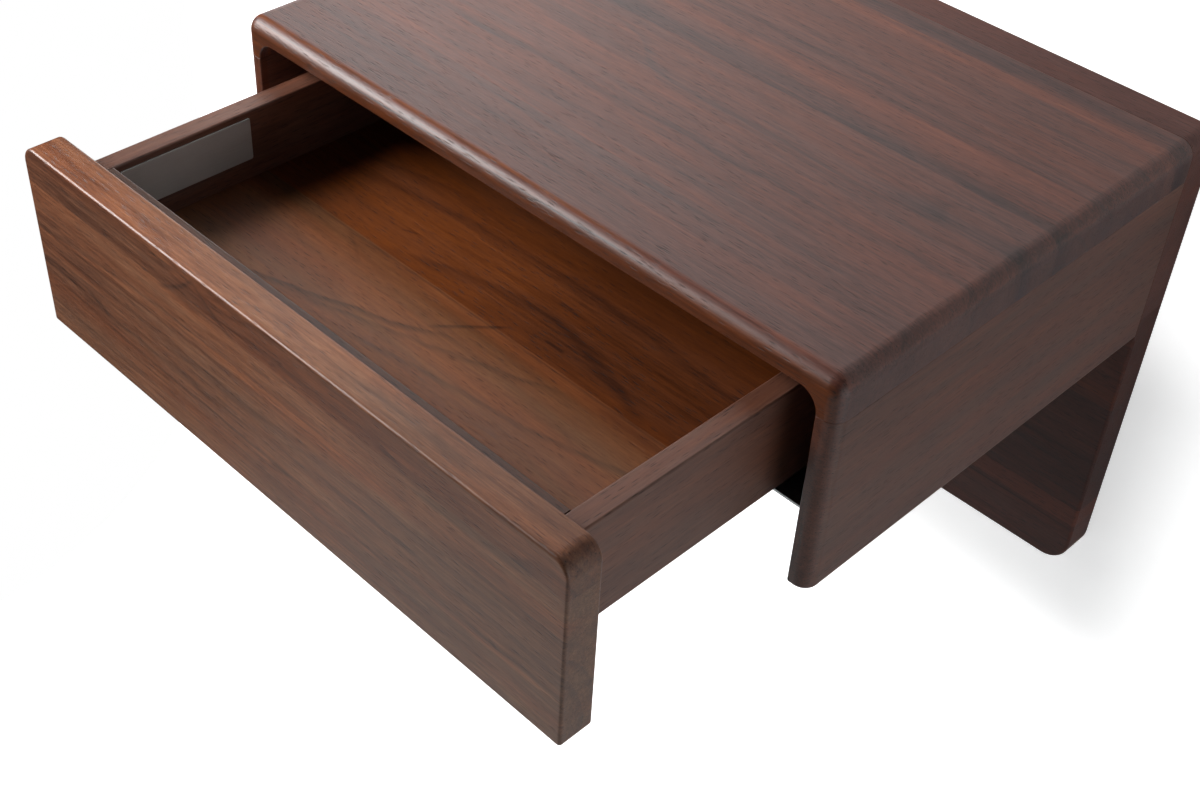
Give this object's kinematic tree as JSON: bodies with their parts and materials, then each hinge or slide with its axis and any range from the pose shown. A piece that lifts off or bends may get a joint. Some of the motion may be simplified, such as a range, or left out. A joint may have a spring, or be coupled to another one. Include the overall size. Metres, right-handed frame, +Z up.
{
  "type": "floating nightstand",
  "caption": "Wall-hung solid walnut bedside cabinet with a deep back panel, a rounded open-bottomed carcase and an inset drawer on telescopic under-drawer slides.",
  "frame": {"origin": "middle of the back panel's rear face, on the wall", "axes": "+X to the viewer's right, +Y from the room into the wall, +Z up; the drawer opens along -Y"},
  "size_m": [0.406, 0.444, 0.302],
  "materials": {
    "walnut_top": "satin oiled walnut",
    "walnut_side": "satin oiled walnut",
    "walnut_front": "satin oiled walnut",
    "walnut_box": "satin oiled walnut",
    "walnut_floor": "polished walnut",
    "beech": "raw beech",
    "zinc_steel": "zinc-plated sheet",
    "grey_plastic": "moulded"
  },
  "bodies": {
    "carcase": {"top_panel": "walnut_top", "left_side_panel": "walnut_side", "right_side_panel": "walnut_side", "back_panel": "walnut_side", "left_corner_spline": "beech", "right_corner_spline": "beech", "back_dowel_1": "beech", "back_dowel_2": "beech", "back_dowel_3": "beech", "back_dowel_4": "beech", "back_dowel_5": "beech", "back_dowel_6": "beech", "back_dowel_7": "beech", "left_keyhole_hanger": "zinc_steel", "right_keyhole_hanger": "zinc_steel", "left_cabinet_rail": "zinc_steel", "right_cabinet_rail": "zinc_steel"},
    "drawer": {"drawer_front": "walnut_front", "drawer_subfront": "walnut_box", "left_drawer_side": "walnut_box", "right_drawer_side": "walnut_box", "drawer_back": "walnut_box", "drawer_floor": "walnut_floor", "left_drawer_runner": "zinc_steel", "right_drawer_runner": "zinc_steel", "left_release_catch": "grey_plastic", "right_release_catch": "grey_plastic"},
    "left_slide_middle": {"left_middle_rail": "zinc_steel"},
    "right_slide_middle": {"right_middle_rail": "zinc_steel"}
  },
  "joints": [
    {"name": "drawer_slide", "type": "slide", "parent": "carcase", "child": "drawer", "axis": [0, -1, 0], "range_m": [-0.142, 0.098]},
    {"name": "left_middle_slide", "type": "slide", "parent": "carcase", "child": "left_slide_middle", "axis": [0, -1, 0], "range_m": [-0.071, 0.049]},
    {"name": "right_middle_slide", "type": "slide", "parent": "carcase", "child": "right_slide_middle", "axis": [0, -1, 0], "range_m": [-0.071, 0.049]}
  ],
  "couplings": [
    {"joint": "left_middle_slide", "follows": "drawer_slide", "ratio": 0.5},
    {"joint": "right_middle_slide", "follows": "drawer_slide", "ratio": 0.5}
  ]
}
